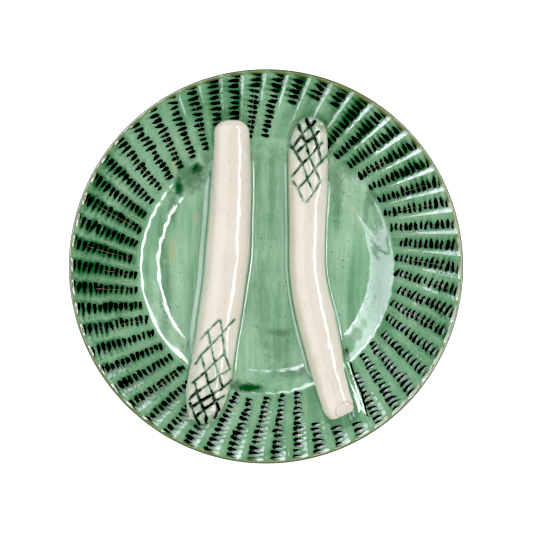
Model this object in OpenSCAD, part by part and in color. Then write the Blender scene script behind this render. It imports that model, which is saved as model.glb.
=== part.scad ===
// Round majolica plate with two asparagus spears laid in relief across its well.
// Millimetres, +Z up. The origin is the centre of the foot ring, on the table.
// Azimuth runs counter-clockwise from +X, and +Y is the far side of the plate.

/* [Plate] */
// Radius of the plate at its edge
plate_r = 120; // [116:1:124]
// Radius of the shoulder, where the rim turns down into the well
shoulder_r = 77; // [75:0.5:79]
// Radius of the flat floor of the well
floor_r = 63; // [60:0.5:65]
// Share of the wall's width that is taken by the bend at its top or its bottom
wall_bend_share = 0.22; // [0.15:0.01:0.4]
// Height of the rim's top at the edge
edge_z = 26; // [25:0.5:28]
// Height of the rim's top at the shoulder
shoulder_z = 18.5; // [17.5:0.5:20]
// Height of the floor of the well
floor_z = 9; // [8.5:0.5:10]

/* [Walls] */
// Thickness of the rim
rim_t = 4.6; // [4:0.1:5.2]
// Thickness of the floor of the well
floor_t = 5; // [4:0.5:5]
// Radius of the round on the edge of the rim
edge_round = 1.8; // [1.5:0.1:2]
// How far the foot ring stands inside the flat floor's radius
foot_inset = 1; // [0.5:0.5:4]
// Width of the foot ring
foot_w = 6; // [5:0.5:8]
// Width of the flat that the foot ring stands on
foot_flat_w = 3.4; // [2.5:0.1:4]

/* [Fluted rim] */
// Number of fluted rows round the rim
row_count = 54; // [48:1:60]
// Azimuth of the first row
row_phase = -3.1; // [-6:0.1:6]
// Radius of the circle that every row points along, so the rows lean
row_lean_r = 19; // [14:1:24]
// Radius of the hollow of a flute
flute_r = 28; // [26:1:34]
// Depth of a flute along its middle
flute_depth = 0.8; // [0.6:0.05:0.9]

/* [Impressed marks] */
// Number of marks pressed into each row
mark_count = 12; // [10:1:13]
// Distance along a row to the mark nearest the well
mark_first = 79.2; // [78.5:0.1:80]
// Distance along a row to the mark nearest the edge
mark_last = 115.6; // [114:0.1:116]
// Length of the mark nearest the well, across its row
mark_inner_l = 4.4; // [4:0.1:5]
// Length of the mark nearest the edge, across its row
mark_outer_l = 6.6; // [6:0.1:7.5]
// Width of a mark, along its row
mark_w = 1.9; // [1.6:0.1:2.1]
// Depth of a mark below its flute
mark_depth = 0.7; // [0.5:0.05:0.9]
// Space kept between a mark and a spear
mark_gap = 1.6; // [1:0.1:3]

/* [Spears] */
// Full width of a spear at its widest
spear_w = 26; // [24:0.5:28]
// Height of a spear's axis where it lies on the rim
spear_end_z = 16.8; // [16.2:0.2:17.6]
// Height of a spear's axis over the middle of the well
spear_mid_z = 14.6; // [14:0.2:15.6]
// How far a spear's flanks spread between its axis and the floor
spear_flare = 2.4; // [1.5:0.1:3]
// Length of the rounded tip
tip_l = 24; // [20:1:30]
// Length over which a cut end is rounded off
cut_l = 8; // [6:0.5:10]

/* [Scored tips] */
// Width of a scored line at the surface
score_w = 1.3; // [1:0.1:1.6]
// Depth of a scored line
score_depth = 0.5; // [0.4:0.05:0.7]
// How far up a flank a scored line starts, as an angle round the spear
score_start = 24; // [15:1:35]

/* [Cut end] */
// Radius of the ring that shows on the right spear's cut end
ring_r = 4.4; // [4:0.1:5]
// Width and depth of the groove round that ring
ring_groove = 0.6; // [0.4:0.1:0.8]
// Lean of the cut face from upright
cut_lean = 42; // [35:1:50]

/* [Hidden] */
$fn = 96;
rim_colour = "seagreen";
well_colour = "mediumseagreen";
foot_colour = "tan";
spear_colour = "linen";
// How far a cutting shape runs past what it cuts
overrun = 1;
// The rim rises in a straight line from the shoulder to the edge
rim_slope = atan((edge_z - shoulder_z) / (plate_r - shoulder_r));
// The foot carries the floor at this height
foot_h = floor_z - floor_t;
foot_r = floor_r - foot_inset;
// The well meets the rim level with the valleys of its flutes
well_top_z = shoulder_z - flute_depth;
// Steps in the S-shaped wall of the well
wall_steps = 14;
// Steps in the round on the edge of the rim
round_steps = 6;
flute_length_share = 1.4;
// Length of the tool that cuts a flute
flute_l = flute_length_share * (plate_r - shoulder_r);
// Share of a row's length by which the marks close up towards the well
close_up_share = 0.09;
// A tip is a little blunter than a half ellipse, and a cut end keeps this share of
// its width
tip_power = 2.2;
cut_end_share = 0.55;
// The end rings stay this share of the length short of the ends, where the rings are
// bunched by this share, and a heading is read over this share to each side
end_share_kept = 0.003;
bunch_share = 0.12;
heading_share = 0.01;
// The middle of the cut face stands this share of cut_l in from the end, and this
// share of the half width above the spear's axis
face_back_share = 0.6;
face_up_share = 0.62;
spear_sink_share = 0.5;
flank_sink_share = 0.15;
// Deepest that a spear's axis lies in the rim, and how far its flanks go below
// that, before the plate is cut away from it
spear_sink = spear_sink_share * rim_t;
flank_sink = flank_sink_share * rim_t;
// Rings along a spear, steps along a scored line, and points over a ring's top
spear_rings = 40;
score_steps = 8;
ring_steps = 14;

// Centre lines of the spears from the far end to the near end of the plate. Each
// row is x and y in shares of shoulder_r, and the width in shares of spear_w.
left_spear_shares = [
  [-0.274, 1.161, 0.82],
  [-0.271, 0.935, 0.87],
  [-0.277, 0.569, 0.95],
  [-0.301, 0.148, 1.00],
  [-0.334, -0.164, 0.99],
  [-0.396, -0.584, 0.96],
  [-0.457, -0.935, 1.00],
  [-0.521, -1.245, 0.90]
];
right_spear_shares = [
  [0.371, 1.184, 0.90],
  [0.340, 0.954, 0.94],
  [0.335, 0.569, 0.89],
  [0.329, 0.249, 0.84],
  [0.330, -0.008, 0.83],
  [0.358, -0.226, 0.87],
  [0.404, -0.429, 0.88],
  [0.457, -0.662, 0.86],
  [0.514, -0.899, 0.80],
  [0.570, -1.091, 0.77],
  [0.609, -1.180, 0.76]
];

// Scored lines: how far from the tip each one meets the right flank and the left flank,
// in shares of the spear's length
left_score_shares = [
  [0.352, 0.194], [0.270, 0.131], [0.196, 0.081], [0.154, 0.052], [0.107, 0.036],
  [0.113, 0.357], [0.170, 0.400], [0.036, 0.281], [0.030, 0.196]
];
right_score_shares = [
  [0.038, 0.104], [0.052, 0.130], [0.080, 0.165], [0.114, 0.205], [0.151, 0.240],
  [0.168, 0.036], [0.205, 0.046], [0.252, 0.084], [0.268, 0.162]
];

// A straight ramp from 0 to 1 with a bend of that share at each end
function ramp(u, bend) =
  let (low = u < 0.5 ? u : 1 - u,
    h = (low < bend ? low * low / 2 / bend : low - bend / 2) / (1 - bend))
  u < 0.5 ? h : 1 - h;

// Height of the rim's unfluted top at radius r
function rim_z(r) = shoulder_z + (r - shoulder_r) * tan(rim_slope);

// Height of the well's top at radius r
function wall_z(r) =
  floor_z + (well_top_z - floor_z)
    * ramp((r - floor_r) / (shoulder_r - floor_r), wall_bend_share);

// Height of the plate's top at radius r
function top_z(r) =
  r < floor_r ? floor_z : r < shoulder_r ? wall_z(r) : rim_z(min(r, plate_r));

// A smooth curve through four rows of a table, between the second and the third
function blend4(a, b, c, d, u) =
  (2 * b + (c - a) * u + (2 * a - 5 * b + 4 * c - d) * u * u
    + (3 * b - a - 3 * c + d) * u * u * u) / 2;

// Row of a table at a place from 0 to 1 along it
function along(rows, place) =
  let (
    last = len(rows) - 1,
    i = min(floor(place * last), last - 1),
    u = place * last - i
  )
  blend4(rows[max(i - 1, 0)], rows[i], rows[i + 1], rows[min(i + 2, last)], u);

// Centre of a spear in plan at a place from 0 to 1 along it
function spear_xy(shares, place) =
  let (row = along(shares, place)) [row[0] * shoulder_r, row[1] * shoulder_r];

// Full half width of a spear at a place along it, before its ends are shaped
function spear_half(shares, place) = along(shares, place)[2] * spear_w / 2;

// Direction of a spear in plan, towards the near end
function spear_dir(shares, place) =
  let (
    ahead = spear_xy(shares, min(place + heading_share, 1)),
    step = ahead - spear_xy(shares, max(place - heading_share, 0))
  )
  step / norm(step);

// Length of a spear in plan, near enough for shaping its ends
function spear_length(shares) = norm(spear_xy(shares, 1) - spear_xy(shares, 0));

// Share of the full section that is left at a distance from a tip or a cut end
function tip_share(d) =
  d >= tip_l ? 1 : sqrt(max(0, 1 - pow(1 - d / tip_l, tip_power)));
function cut_share(d) =
  let (round = sqrt(max(0, 1 - pow(1 - d / cut_l, 2))))
  d >= cut_l ? 1 : cut_end_share + (1 - cut_end_share) * round;
function end_share(shares, place, tip_at) =
  let (
    l = spear_length(shares),
    to_tip = abs(place - tip_at) * l,
    to_cut = abs(1 - tip_at - place) * l
  )
  tip_share(to_tip) * cut_share(to_cut);

// Height of a spear's axis: on the rim at both ends, lower over the well
function axis_z(place) = spear_mid_z + (spear_end_z - spear_mid_z) * pow(2 * place - 1, 2);

// Places of the rings, closer together near the ends
function ring_place(i) =
  let (u = i / spear_rings)
  end_share_kept + (1 - 2 * end_share_kept) * (u - bunch_share * sin(360 * u));

// Height of a point below a flank, inside the plate and below the axis
function foot_z(p, z) = min(top_z(norm(p)) - spear_sink, z - flank_sink);

// Height of a ring's middle, which stays close below the plate's top
function ring_z(c, place) = max(axis_z(place), top_z(norm(c)) - spear_sink);

// One ring: over the round top, then down both flanks into the plate.
function ring_points(shares, tip_at, place) =
  let (
    c = spear_xy(shares, place),
    dir = spear_dir(shares, place),
    side = [-dir[1], dir[0]],
    w = spear_half(shares, place) * end_share(shares, place, tip_at),
    z = ring_z(c, place),
    drop = max(z - top_z(norm(c + side * w)), z - top_z(norm(c - side * w)), 0),
    foot = w + spear_flare * drop / (spear_mid_z - floor_z),
    right_foot = c + side * foot,
    left_foot = c - side * foot
  )
  concat(
    [[right_foot[0], right_foot[1], foot_z(right_foot, z)]],
    [for (i = [0 : ring_steps])
      let (a = 180 * i / ring_steps, p = c + side * w * cos(a))
      [p[0], p[1], z + w * sin(a)]],
    [[left_foot[0], left_foot[1], foot_z(left_foot, z)]],
    [[c[0], c[1], foot_z(c, z)]]
  );

// Whether a point in plan is clear of a spear
function clear_of(shares, p) =
  min([for (i = [0 : spear_rings])
    let (place = i / spear_rings)
    norm(spear_xy(shares, place) - p) - spear_half(shares, place)]) > mark_gap;

// Distance of a mark along its row, a little closer together towards the well
function mark_at(k) =
  let (u = k / (mark_count - 1))
  mark_first + (mark_last - mark_first) * (u + close_up_share * (u * u - u));

function mark_l(k) = mark_inner_l + (mark_outer_l - mark_inner_l) * k / (mark_count - 1);

// Place in plan of a mark
function mark_xy(row, k) =
  let (a = row_phase + row * 360 / row_count, s = mark_at(k))
  [s * cos(a) - row_lean_r * sin(a), s * sin(a) + row_lean_r * cos(a)];

// Points of the well's top, from the shoulder in to the floor
function wall_points() =
  [for (i = [wall_steps : -1 : 0])
    let (r = floor_r + (shoulder_r - floor_r) * i / wall_steps) [r, wall_z(r)]];

// Faces of a loft through that many rings of n points, closed at both ends
function loft_faces(rings, n) =
  concat(
    [for (i = [0 : rings - 2]) for (k = [0 : n - 1])
      let (a = i * n + k, b = i * n + (k + 1) % n)
      each [[a, b + n, b], [a, a + n, b + n]]],
    [[for (k = [0 : n - 1]) k]],
    [[for (k = [n - 1 : -1 : 0]) (rings - 1) * n + k]]
  );

// Point of a scored line on a spear's round top, and the way out of the clay there
function score_turn(t) = score_start + (180 - 2 * score_start) * t;
function score_place(tip_at, ends, t) = abs(tip_at - ends[0] - (ends[1] - ends[0]) * t);
function score_out(shares, place, turn) =
  let (dir = spear_dir(shares, place))
  [-dir[1] * cos(turn), dir[0] * cos(turn), sin(turn)];
function score_point(shares, tip_at, ends, t) =
  let (
    place = score_place(tip_at, ends, t),
    c = spear_xy(shares, place),
    w = spear_half(shares, place) * end_share(shares, place, tip_at),
    z = ring_z(c, place)
  )
  [c[0], c[1], z] + w * score_out(shares, place, score_turn(t));

// V-shaped section of a scored line: its bottom in the clay, then its two lips
function score_section(shares, tip_at, ends, t) =
  let (
    p = score_point(shares, tip_at, ends, t),
    ahead = score_point(shares, tip_at, ends, t + heading_share)
      - score_point(shares, tip_at, ends, t - heading_share),
    out = score_out(shares, score_place(tip_at, ends, t), score_turn(t)),
    side = cross(out, ahead) / norm(cross(out, ahead)),
    half_w = score_w / 2 * (score_depth + overrun) / score_depth
  )
  [p - score_depth * out, p + overrun * out + half_w * side,
   p + overrun * out - half_w * side];

module rim_section() {
  polygon(concat(
    [[shoulder_r, shoulder_z - rim_t], [shoulder_r, shoulder_z]],
    [for (i = [0 : round_steps])
      let (a = 90 - 90 * i / round_steps)
      [plate_r - edge_round + edge_round * cos(a),
       rim_z(plate_r - edge_round) - edge_round + edge_round * sin(a)]],
    [[plate_r - edge_round, rim_z(plate_r - edge_round) - rim_t]]
  ));
}

module rim_blank() {
  rotate_extrude() rim_section();
}

// Puts its children on a row, with X along the row and Z out of the rim
module on_row(row) {
  rotate([0, 0, row_phase + row * 360 / row_count])
    translate([0, row_lean_r, shoulder_z - shoulder_r * tan(rim_slope)])
      rotate([0, -rim_slope, 0])
        children();
}

module flute() {
  translate([shoulder_r - flute_l / 4, 0, flute_r - flute_depth])
    rotate([0, 90, 0])
      cylinder(h = flute_l + flute_l / 4, r = flute_r);
}

// A mark is as deep as its middle and runs out to nothing at both ends
module mark(l) {
  bottom = flute_depth + mark_depth;
  end_rise = mark_depth + l * l / 8 / flute_r;
  half = l / 2 * (bottom + overrun) / end_rise;
  translate([-mark_w / 2, 0, 0])
    rotate([90, 0, 90])
      linear_extrude(height = mark_w)
        polygon([[0, -bottom], [half, overrun], [-half, overrun]]);
}

module row_marks(row) {
  for (k = [0 : mark_count - 1]) {
    p = mark_xy(row, k);
    if (clear_of(left_spear_shares, p) && clear_of(right_spear_shares, p)) {
      translate([mark_at(k) / cos(rim_slope), 0, 0]) mark(mark_l(k));
    }
  }
}

module rim() {
  color(rim_colour)
    difference() {
      rim_blank();
      for (row = [0 : row_count - 1]) on_row(row) flute();
      for (row = [0 : row_count - 1]) on_row(row) row_marks(row);
    }
}

module well_blank() {
  under_r = floor_r + floor_t / 2;
  rotate_extrude()
    polygon(concat(
      [[0, foot_h], [foot_r, foot_h]],
      [for (i = [1 : wall_steps])
        let (u = i / wall_steps)
        [under_r + (shoulder_r - under_r) * u,
         foot_h + (shoulder_z - rim_t - foot_h) * ramp(u, wall_bend_share)]],
      wall_points(),
      [[0, floor_z]]
    ));
}

module well() {
  color(well_colour) well_blank();
}

module foot_ring() {
  taper = (foot_w - foot_flat_w) / 2;
  color(foot_colour)
    rotate_extrude()
      polygon([
        [foot_r - foot_w, foot_h],
        [foot_r - foot_w + taper, 0],
        [foot_r - taper, 0],
        [foot_r, foot_h]
      ]);
}

// All that lies below the plate's top
module below_top() {
  rotate_extrude()
    polygon(concat(
      [[0, 0], [plate_r, 0], [plate_r, rim_z(plate_r)], [shoulder_r, shoulder_z]],
      wall_points(),
      [[0, floor_z]]
    ));
}

// A spear is lofted through its rings, then the plate is cut away from under it and
// the lines are scored in its tip
module spear(shares, tip_at, score_shares) {
  rings = [for (i = [0 : spear_rings]) ring_points(shares, tip_at, ring_place(i))];
  difference() {
    polyhedron([for (ring = rings) each ring], loft_faces(len(rings), len(rings[0])));
    below_top();
    for (ends = score_shares) scored_line(shares, tip_at, ends);
  }
}

// A line goes over the round top of a spear, from one flank to the other
module scored_line(shares, tip_at, ends) {
  rings = [for (i = [0 : score_steps])
    score_section(shares, tip_at, ends, i / score_steps)];
  polyhedron([for (ring = rings) each ring], loft_faces(len(rings), len(rings[0])));
}

// Puts its children on the leaning face of a cut end, with Z out of the face
module on_cut_face(shares, tip_at) {
  end = spear_xy(shares, 1 - tip_at);
  dir = spear_dir(shares, 1 - tip_at) * (1 - 2 * tip_at);
  back = cut_l * face_back_share;
  up = ring_z(end, 1 - tip_at) + spear_half(shares, 1 - tip_at) * face_up_share;
  translate([end[0] - dir[0] * back, end[1] - dir[1] * back, up])
    rotate([0, 0, atan2(dir[1], dir[0])])
      rotate([0, cut_lean, 0])
        children();
}

// All that lies outside the cut face, and the groove of the ring in it
module cut_off() {
  translate([-spear_w / 2, -spear_w / 2, 0]) cube([spear_w, spear_w, spear_w]);
  rotate_extrude()
    translate([ring_r, -ring_groove]) square([ring_groove, ring_groove + overrun]);
}

module left_spear() {
  color(spear_colour)
    spear(left_spear_shares, 1, left_score_shares);
}

module right_spear() {
  color(spear_colour)
    difference() {
      spear(right_spear_shares, 0, right_score_shares);
      on_cut_face(right_spear_shares, 0) cut_off();
    }
}

rim();
well();
foot_ring();
left_spear();
right_spear();
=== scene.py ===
# %% [markdown]
# # An asparagus plate
#
# This is a glazed earthenware plate, 240 mm across. Its wide rim is fluted in leaning rows, each
# row carries a ladder of pressed marks, and two cream asparagus spears lie across the well. The
# plate was measured and built as solids first. This lesson loads those solids as a fixed frame,
# puts finer pieces in their places, and gives every surface its glaze. It works in metres, with
# Z up and the table at zero.

# %% Load the solids
import math

import bpy
import numpy as np
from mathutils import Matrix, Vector


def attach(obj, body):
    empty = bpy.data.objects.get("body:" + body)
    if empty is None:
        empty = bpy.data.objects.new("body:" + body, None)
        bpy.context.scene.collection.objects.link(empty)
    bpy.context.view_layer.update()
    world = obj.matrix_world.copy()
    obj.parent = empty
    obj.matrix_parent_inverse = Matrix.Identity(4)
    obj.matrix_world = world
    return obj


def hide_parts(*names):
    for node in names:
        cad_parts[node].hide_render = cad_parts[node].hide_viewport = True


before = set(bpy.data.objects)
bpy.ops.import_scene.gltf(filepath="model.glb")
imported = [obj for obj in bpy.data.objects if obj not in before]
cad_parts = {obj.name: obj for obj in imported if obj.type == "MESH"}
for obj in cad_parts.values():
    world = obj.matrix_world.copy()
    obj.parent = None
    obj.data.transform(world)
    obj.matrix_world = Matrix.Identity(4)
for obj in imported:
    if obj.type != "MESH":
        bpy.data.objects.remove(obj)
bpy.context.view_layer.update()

# %% [markdown]
# The sizes below are the plate's own, in millimetres, and the main ones are the same as in its
# solids. The flutes, the marks and the bends of the wall differ from the solids by up to about
# half a millimetre: they were set until they mirrored the light as in the photograph. A
# drawing is easier to check in millimetres, so they are turned into metres only where a mesh is
# made. The photograph looks straight down, so a place in it becomes a place on the plate with one
# scale and one centre.

# %% Sizes in millimetres
mm = 0.001
plate_r, shoulder_r, floor_r = 120.0, 77.0, 63.0
edge_z, shoulder_z, floor_z = 26.0, 18.5, 9.0
rim_t, floor_t, edge_round = 4.6, 5.0, 1.8
foot_r, foot_w, foot_flat_w = 62.0, 6.0, 3.4
wall_bend_share = 0.22
row_count, row_lean_r, row_phase = 54, 19.0, -3.1
flute_in_depth, flute_out_depth, mark_depth = 0.36, 1.2, 0.18
flute_in_r, flute_out_r, valley_aside = 84, 114, -0.35
wall_foot_r, wall_rise, corner_bend, shoulder_bend = 64.6, 0.75, 1.1, 0.55
rim_rise = (edge_z - shoulder_z) / (plate_r - shoulder_r)
foot_h = floor_z - floor_t

photo_scale, photo_x, photo_y = 0.607, 266.0, 266.4


def on_plate(pixels):
    """Places in the photograph, as millimetres from the plate's middle."""
    p = np.asarray(pixels, float)
    return np.stack([(p[..., 0] - photo_x) * photo_scale,
                     (photo_y - p[..., 1]) * photo_scale], -1)


def ease(low, high, x):
    """A smooth step from 0 at low to 1 at high."""
    u = np.clip((np.asarray(x, float) - low) / (high - low), 0, 1)
    return u * u * (3 - 2 * u)


def ramp(u, bend):
    """A straight ramp from 0 to 1 with a bend of that share at each end."""
    u = np.clip(np.asarray(u, float), 0, 1)
    low = np.minimum(u, 1 - u)
    h = np.where(low < bend, low * low / 2 / bend, low - bend / 2) / (1 - bend)
    return np.where(u < 0.5, h, 1 - h)


def plain_top(r):
    """Height of the plate's top before it is fluted: floor, wall and rim, with soft bends."""
    r = np.asarray(r, float)
    wall = floor_z + (r - wall_foot_r) * wall_rise
    wall = corner_bend * np.logaddexp(floor_z / corner_bend, wall / corner_bend)
    rim = shoulder_z - 0.3 + (r - shoulder_r) * rim_rise
    return -shoulder_bend * np.logaddexp(-wall / shoulder_bend, -rim / shoulder_bend)


print("rim rises", round(math.degrees(math.atan(rim_rise)), 1), "degrees")

# %% [markdown]
# Every piece starts the same way: nothing selected, a primitive added where the piece stands, then
# edit mode. These small helpers hold the steps that come back, so that each later cell shows only
# what is particular to its piece.

# %% Helpers for modelling
def deselect_all():
    """Back to object mode with nothing selected."""
    if bpy.context.object and bpy.context.object.mode != "OBJECT":
        bpy.ops.object.mode_set(mode="OBJECT")
    bpy.ops.object.select_all(action="DESELECT")


def start_outline(first):
    """One loose point at (r, z) in millimetres, selected in edit mode, to be extruded."""
    deselect_all()
    bpy.ops.mesh.primitive_plane_add(size=0.001, location=(0, 0, 0))
    bpy.ops.object.mode_set(mode="EDIT")
    bpy.ops.mesh.select_all(action="SELECT")
    bpy.ops.mesh.merge(type="CENTER")
    bpy.ops.transform.translate(value=(first[0] * mm, 0, first[1] * mm))
    return bpy.context.object


def extrude_outline(points):
    """Draws the outline on from its last point, one extrusion for each next point."""
    for (r0, z0), (r1, z1) in zip(points[:-1], points[1:]):
        bpy.ops.mesh.extrude_region_move(
            TRANSFORM_OT_translate={"value": ((r1 - r0) * mm, 0, (z1 - z0) * mm)})


def spin_outline(steps):
    """Turns the outline once round the plate's axis, closes it and points it outwards."""
    bpy.ops.mesh.select_all(action="SELECT")
    bpy.ops.mesh.spin(steps=steps, angle=math.tau, center=(0, 0, 0), axis=(0, 0, 1))
    bpy.ops.mesh.select_all(action="SELECT")
    bpy.ops.mesh.remove_doubles(threshold=0.01 * mm)
    bpy.ops.mesh.select_all(action="SELECT")
    bpy.ops.mesh.normals_make_consistent(inside=False)
    bpy.ops.object.mode_set(mode="OBJECT")
    bpy.ops.object.transform_apply(location=True, rotation=True, scale=True)
    bpy.ops.object.shade_smooth()


def points_of(piece):
    """A piece's points as an array, in millimetres."""
    co = np.empty(len(piece.data.vertices) * 3)
    piece.data.vertices.foreach_get("co", co)
    return co.reshape(-1, 3) / mm


def put_points(piece, points):
    """Moves a piece's points to these places, in millimetres."""
    piece.data.vertices.foreach_set("co", (points * mm).ravel())
    piece.data.update()


def paint(piece, name, values, domain="POINT"):
    """Keeps values on the mesh, one number or three for each point or corner."""
    kind = "FLOAT" if values.ndim == 1 else "FLOAT_VECTOR"
    layer = piece.data.attributes.new(name, kind, domain)
    layer.data.foreach_set("value" if kind == "FLOAT" else "vector",
                           values.astype(np.float32).ravel())


print("helpers ready")

# %% [markdown]
# ## The rows on the rim
#
# Each row is a shallow flute that doesn't point at the middle: it passes it at a distance, which
# gives the rim its swirl. A flute is steep on one side and slow on the other, so that only its
# steep side mirrors the window. A place on the rim is described by its row, by how far it lies
# along that row and by how far across. The pressed marks lie across their row like the rungs of a
# ladder, and a hand pressed each one, so each has its own length, width, tilt and place.

# %% Rows and marks
row_turn = math.tau / row_count
marks_in_row, last_mark, off_mark = 13, 115.7, 9
chance = np.random.default_rng(11)
mark_s = np.cumsum(np.concatenate([[0], np.linspace(2.85, 3.45, marks_in_row - 1)]))
mark_s = last_mark - (mark_s[-1] - mark_s)
mark_s = mark_s + chance.normal(0, 0.16, (row_count, marks_in_row)) \
    + chance.normal(0, 0.35, (row_count, 1))
grow = np.linspace(0, 1, marks_in_row)[None, :]
mark_half_l = (2.2 + 1.35 * grow) * chance.normal(1, 0.10, (row_count, marks_in_row))
mark_half_w = (0.97 + 0.13 * grow) * chance.normal(1, 0.13, (row_count, marks_in_row))
mark_tilt = np.radians(chance.normal(0, 6.5, (row_count, marks_in_row)))
mark_off = chance.normal(0, 0.30, (row_count, marks_in_row))
mark_seed = chance.random((row_count, marks_in_row))
mark_here = np.ones((row_count, marks_in_row), bool)
mark_here[:, 0] = chance.random(row_count) < 0.85


def row_place(x, y, row=None):
    """The row of a place, with how far along it and across it the place lies."""
    r, a = np.hypot(x, y), np.arctan2(y, x)
    if row is None:
        lean = np.arcsin(np.clip(row_lean_r / np.maximum(r, row_lean_r), 0, 1))
        row = np.rint((a - lean - math.radians(row_phase)) / row_turn).astype(int) % row_count
    turn = a - math.radians(row_phase) - row * row_turn
    return row, r * np.cos(turn), r * np.sin(turn) - row_lean_r


def mark_place(row, along, across, mark=None):
    """The nearest mark, and the place inside it: 1 is its edge, both ways."""
    if mark is None:
        mark = np.abs(mark_s[row] - along[..., None]).argmin(-1)
    u, v = across - mark_off[row, mark], along - mark_s[row, mark]
    c, s = np.cos(mark_tilt[row, mark]), np.sin(mark_tilt[row, mark])
    p = (u * c + v * s) / mark_half_l[row, mark]
    q = (v * c - u * s) / mark_half_w[row, mark]
    away = np.where(mark_here[row, mark], 0, off_mark)
    return mark, p + away, q + away


def mark_reach(p, q):
    """1 on the outline of a mark, which is blunt at one end and drawn to a point at the other."""
    lean = np.clip(p, -1, 1)
    return np.sqrt(np.abs(p) ** (1.8 - 0.55 * lean) + (q * (1 + 0.3 * lean)) ** 2)


def plate_top(x, y):
    """Height of the fluted plate: a flute is a hollow, steep on one side and slow on the other."""
    r = np.hypot(x, y)
    _, along, across = row_place(x, y)
    half_row = r * row_turn / 2 * np.cos(np.arcsin(row_lean_r / np.maximum(r, 30)))
    aside = across / np.maximum(half_row, 1)
    to_crest = np.where(aside < valley_aside, (aside + 1) / (valley_aside + 1),
                        (1 - aside) / (1 - valley_aside))
    hollow = 1 - (1 - np.sqrt(np.clip(to_crest, 0, 1) ** 2 + 0.004)) ** 2
    deep = np.interp(r, [flute_in_r, flute_out_r], [flute_in_depth, flute_out_depth])
    share = ease(shoulder_r, shoulder_r + 5, r) * (1 - ease(117.0, 119.4, r))
    return plain_top(r) - deep * share * np.clip(hollow, 0, 1)


print(row_count, "rows,", int(mark_here.sum()), "marks before the spears are laid over them")

# %% [markdown]
# ## The two spears
#
# A spear is pressed clay, laid over the plate from the rim, across the well, to the other rim. Its
# top is round, its flanks flare a little where they meet the plate, its tip is drawn in, and the
# tip's scales are two crossing sets of lines scored with a point. It could be a curve with a
# bevel, but then its section couldn't change from a round top to a flared foot. So an open tube
# of rings is made, and each ring is then fitted to its place. Beside the lower end of the right
# spear the glaze folded up to a seam, which is a run of places here.

# %% Where the spears lie
spear_w, tip_l, cut_l = 26.0, 24.0, 8.0
spear_end_z, spear_mid_z, spear_sink = 16.8, 14.6, 2.3
left_rows = np.array([
    (-21.1, 89.4, 0.82), (-20.9, 72.0, 0.87), (-21.4, 43.8, 0.95), (-23.2, 11.4, 1.00),
    (-25.7, -12.6, 0.99), (-30.5, -45.0, 0.96), (-35.2, -72.0, 1.00), (-40.1, -95.9, 0.90)])
right_rows = np.array([
    (28.6, 91.2, 0.90), (26.2, 73.4, 0.94), (25.8, 43.8, 0.89), (25.3, 19.2, 0.84),
    (25.4, -0.6, 0.83), (27.6, -17.4, 0.87), (31.1, -33.0, 0.88), (35.2, -51.0, 0.86),
    (39.6, -69.2, 0.80), (43.9, -84.0, 0.77), (46.9, -90.8, 0.76)])


def along_rows(rows, place):
    """A smooth line through the rows, at places from 0 to 1."""
    last = len(rows) - 1
    i = np.minimum((place * last).astype(int), last - 1)
    u = (place * last - i)[:, None]
    a, b = rows[np.maximum(i - 1, 0)], rows[i]
    c, d = rows[i + 1], rows[np.minimum(i + 2, last)]
    return (2 * b + (c - a) * u + (2 * a - 5 * b + 4 * c - d) * u * u
            + (3 * b - a - 3 * c + d) * u ** 3) / 2


def end_share(place, length, run, tip_at, cut_keep):
    """Share of the full width that is left near the tip and near the cut end."""
    to_tip = np.clip(np.abs(place - tip_at) * length / tip_l, 0, 1)
    to_cut = np.clip(run / cut_l, 0, 1)
    cut = cut_keep + (1 - cut_keep) * np.sqrt(1 - (1 - to_cut) ** 2)
    return np.sqrt(1 - (1 - to_tip) ** 2.2) * cut


def clear_of_spears(x, y):
    """How far a place is outside the nearer spear, in millimetres."""
    place = np.linspace(0, 1, 160)
    to_end = np.minimum(place, 1 - place) * 150 + 1.5
    far = np.full(np.shape(x), 99.0)
    for rows in (left_rows, right_rows):
        for (cx, cy, w), end in zip(along_rows(rows, place), to_end):
            far = np.minimum(far, np.hypot(x - cx, y - cy) - min(w * spear_w / 2, end))
    return far


mark_a = np.radians(row_phase) + np.arange(row_count)[:, None] * row_turn
mark_x = mark_s * np.cos(mark_a) - (row_lean_r + mark_off) * np.sin(mark_a)
mark_y = mark_s * np.sin(mark_a) + (row_lean_r + mark_off) * np.cos(mark_a)
mark_here &= clear_of_spears(mark_x, mark_y) > -4.5
seam_line = on_plate([(331, 285), (336, 313.5), (345.7, 347), (353.7, 374), (361.8, 394),
                      (367, 417), (368, 428)])
seam_end = on_plate((367, 419))


def from_line(at, line):
    """Distance in plan from a line, positive on its right-hand side."""
    best = np.full(at.shape[:-1], 99.0)
    for a, b in zip(line[:-1], line[1:]):
        d, past = b - a, at - a
        t = np.clip((past @ d) / (d @ d), 0, 1)
        away = past - t[..., None] * d
        far = np.hypot(away[..., 0], away[..., 1])
        right = np.where(d[0] * past[..., 1] - d[1] * past[..., 0] < 0, 1, -1)
        best = np.where(far < np.abs(best), far * right, best)
    return best


def far_from_lines(at, lines):
    """Distance in plan from the nearest of the lines."""
    return np.min([np.abs(from_line(at, line)) for line in lines], axis=0)


mark_seam = from_line(np.stack([mark_x, mark_y], -1), seam_line)
mark_here &= ~((mark_seam > -0.8) & (clear_of_spears(mark_x, mark_y) < 9)
               & (mark_x > 0) & (mark_y > seam_end[1] - 2))
print(int(mark_here.sum()), "marks stay clear of the spears")

# %% [markdown]
# The scored lines were read off the photograph as short runs of points. Each point of a spear then
# knows how far it lies from the nearest line, so the same distance cuts the groove and colours it.

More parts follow.
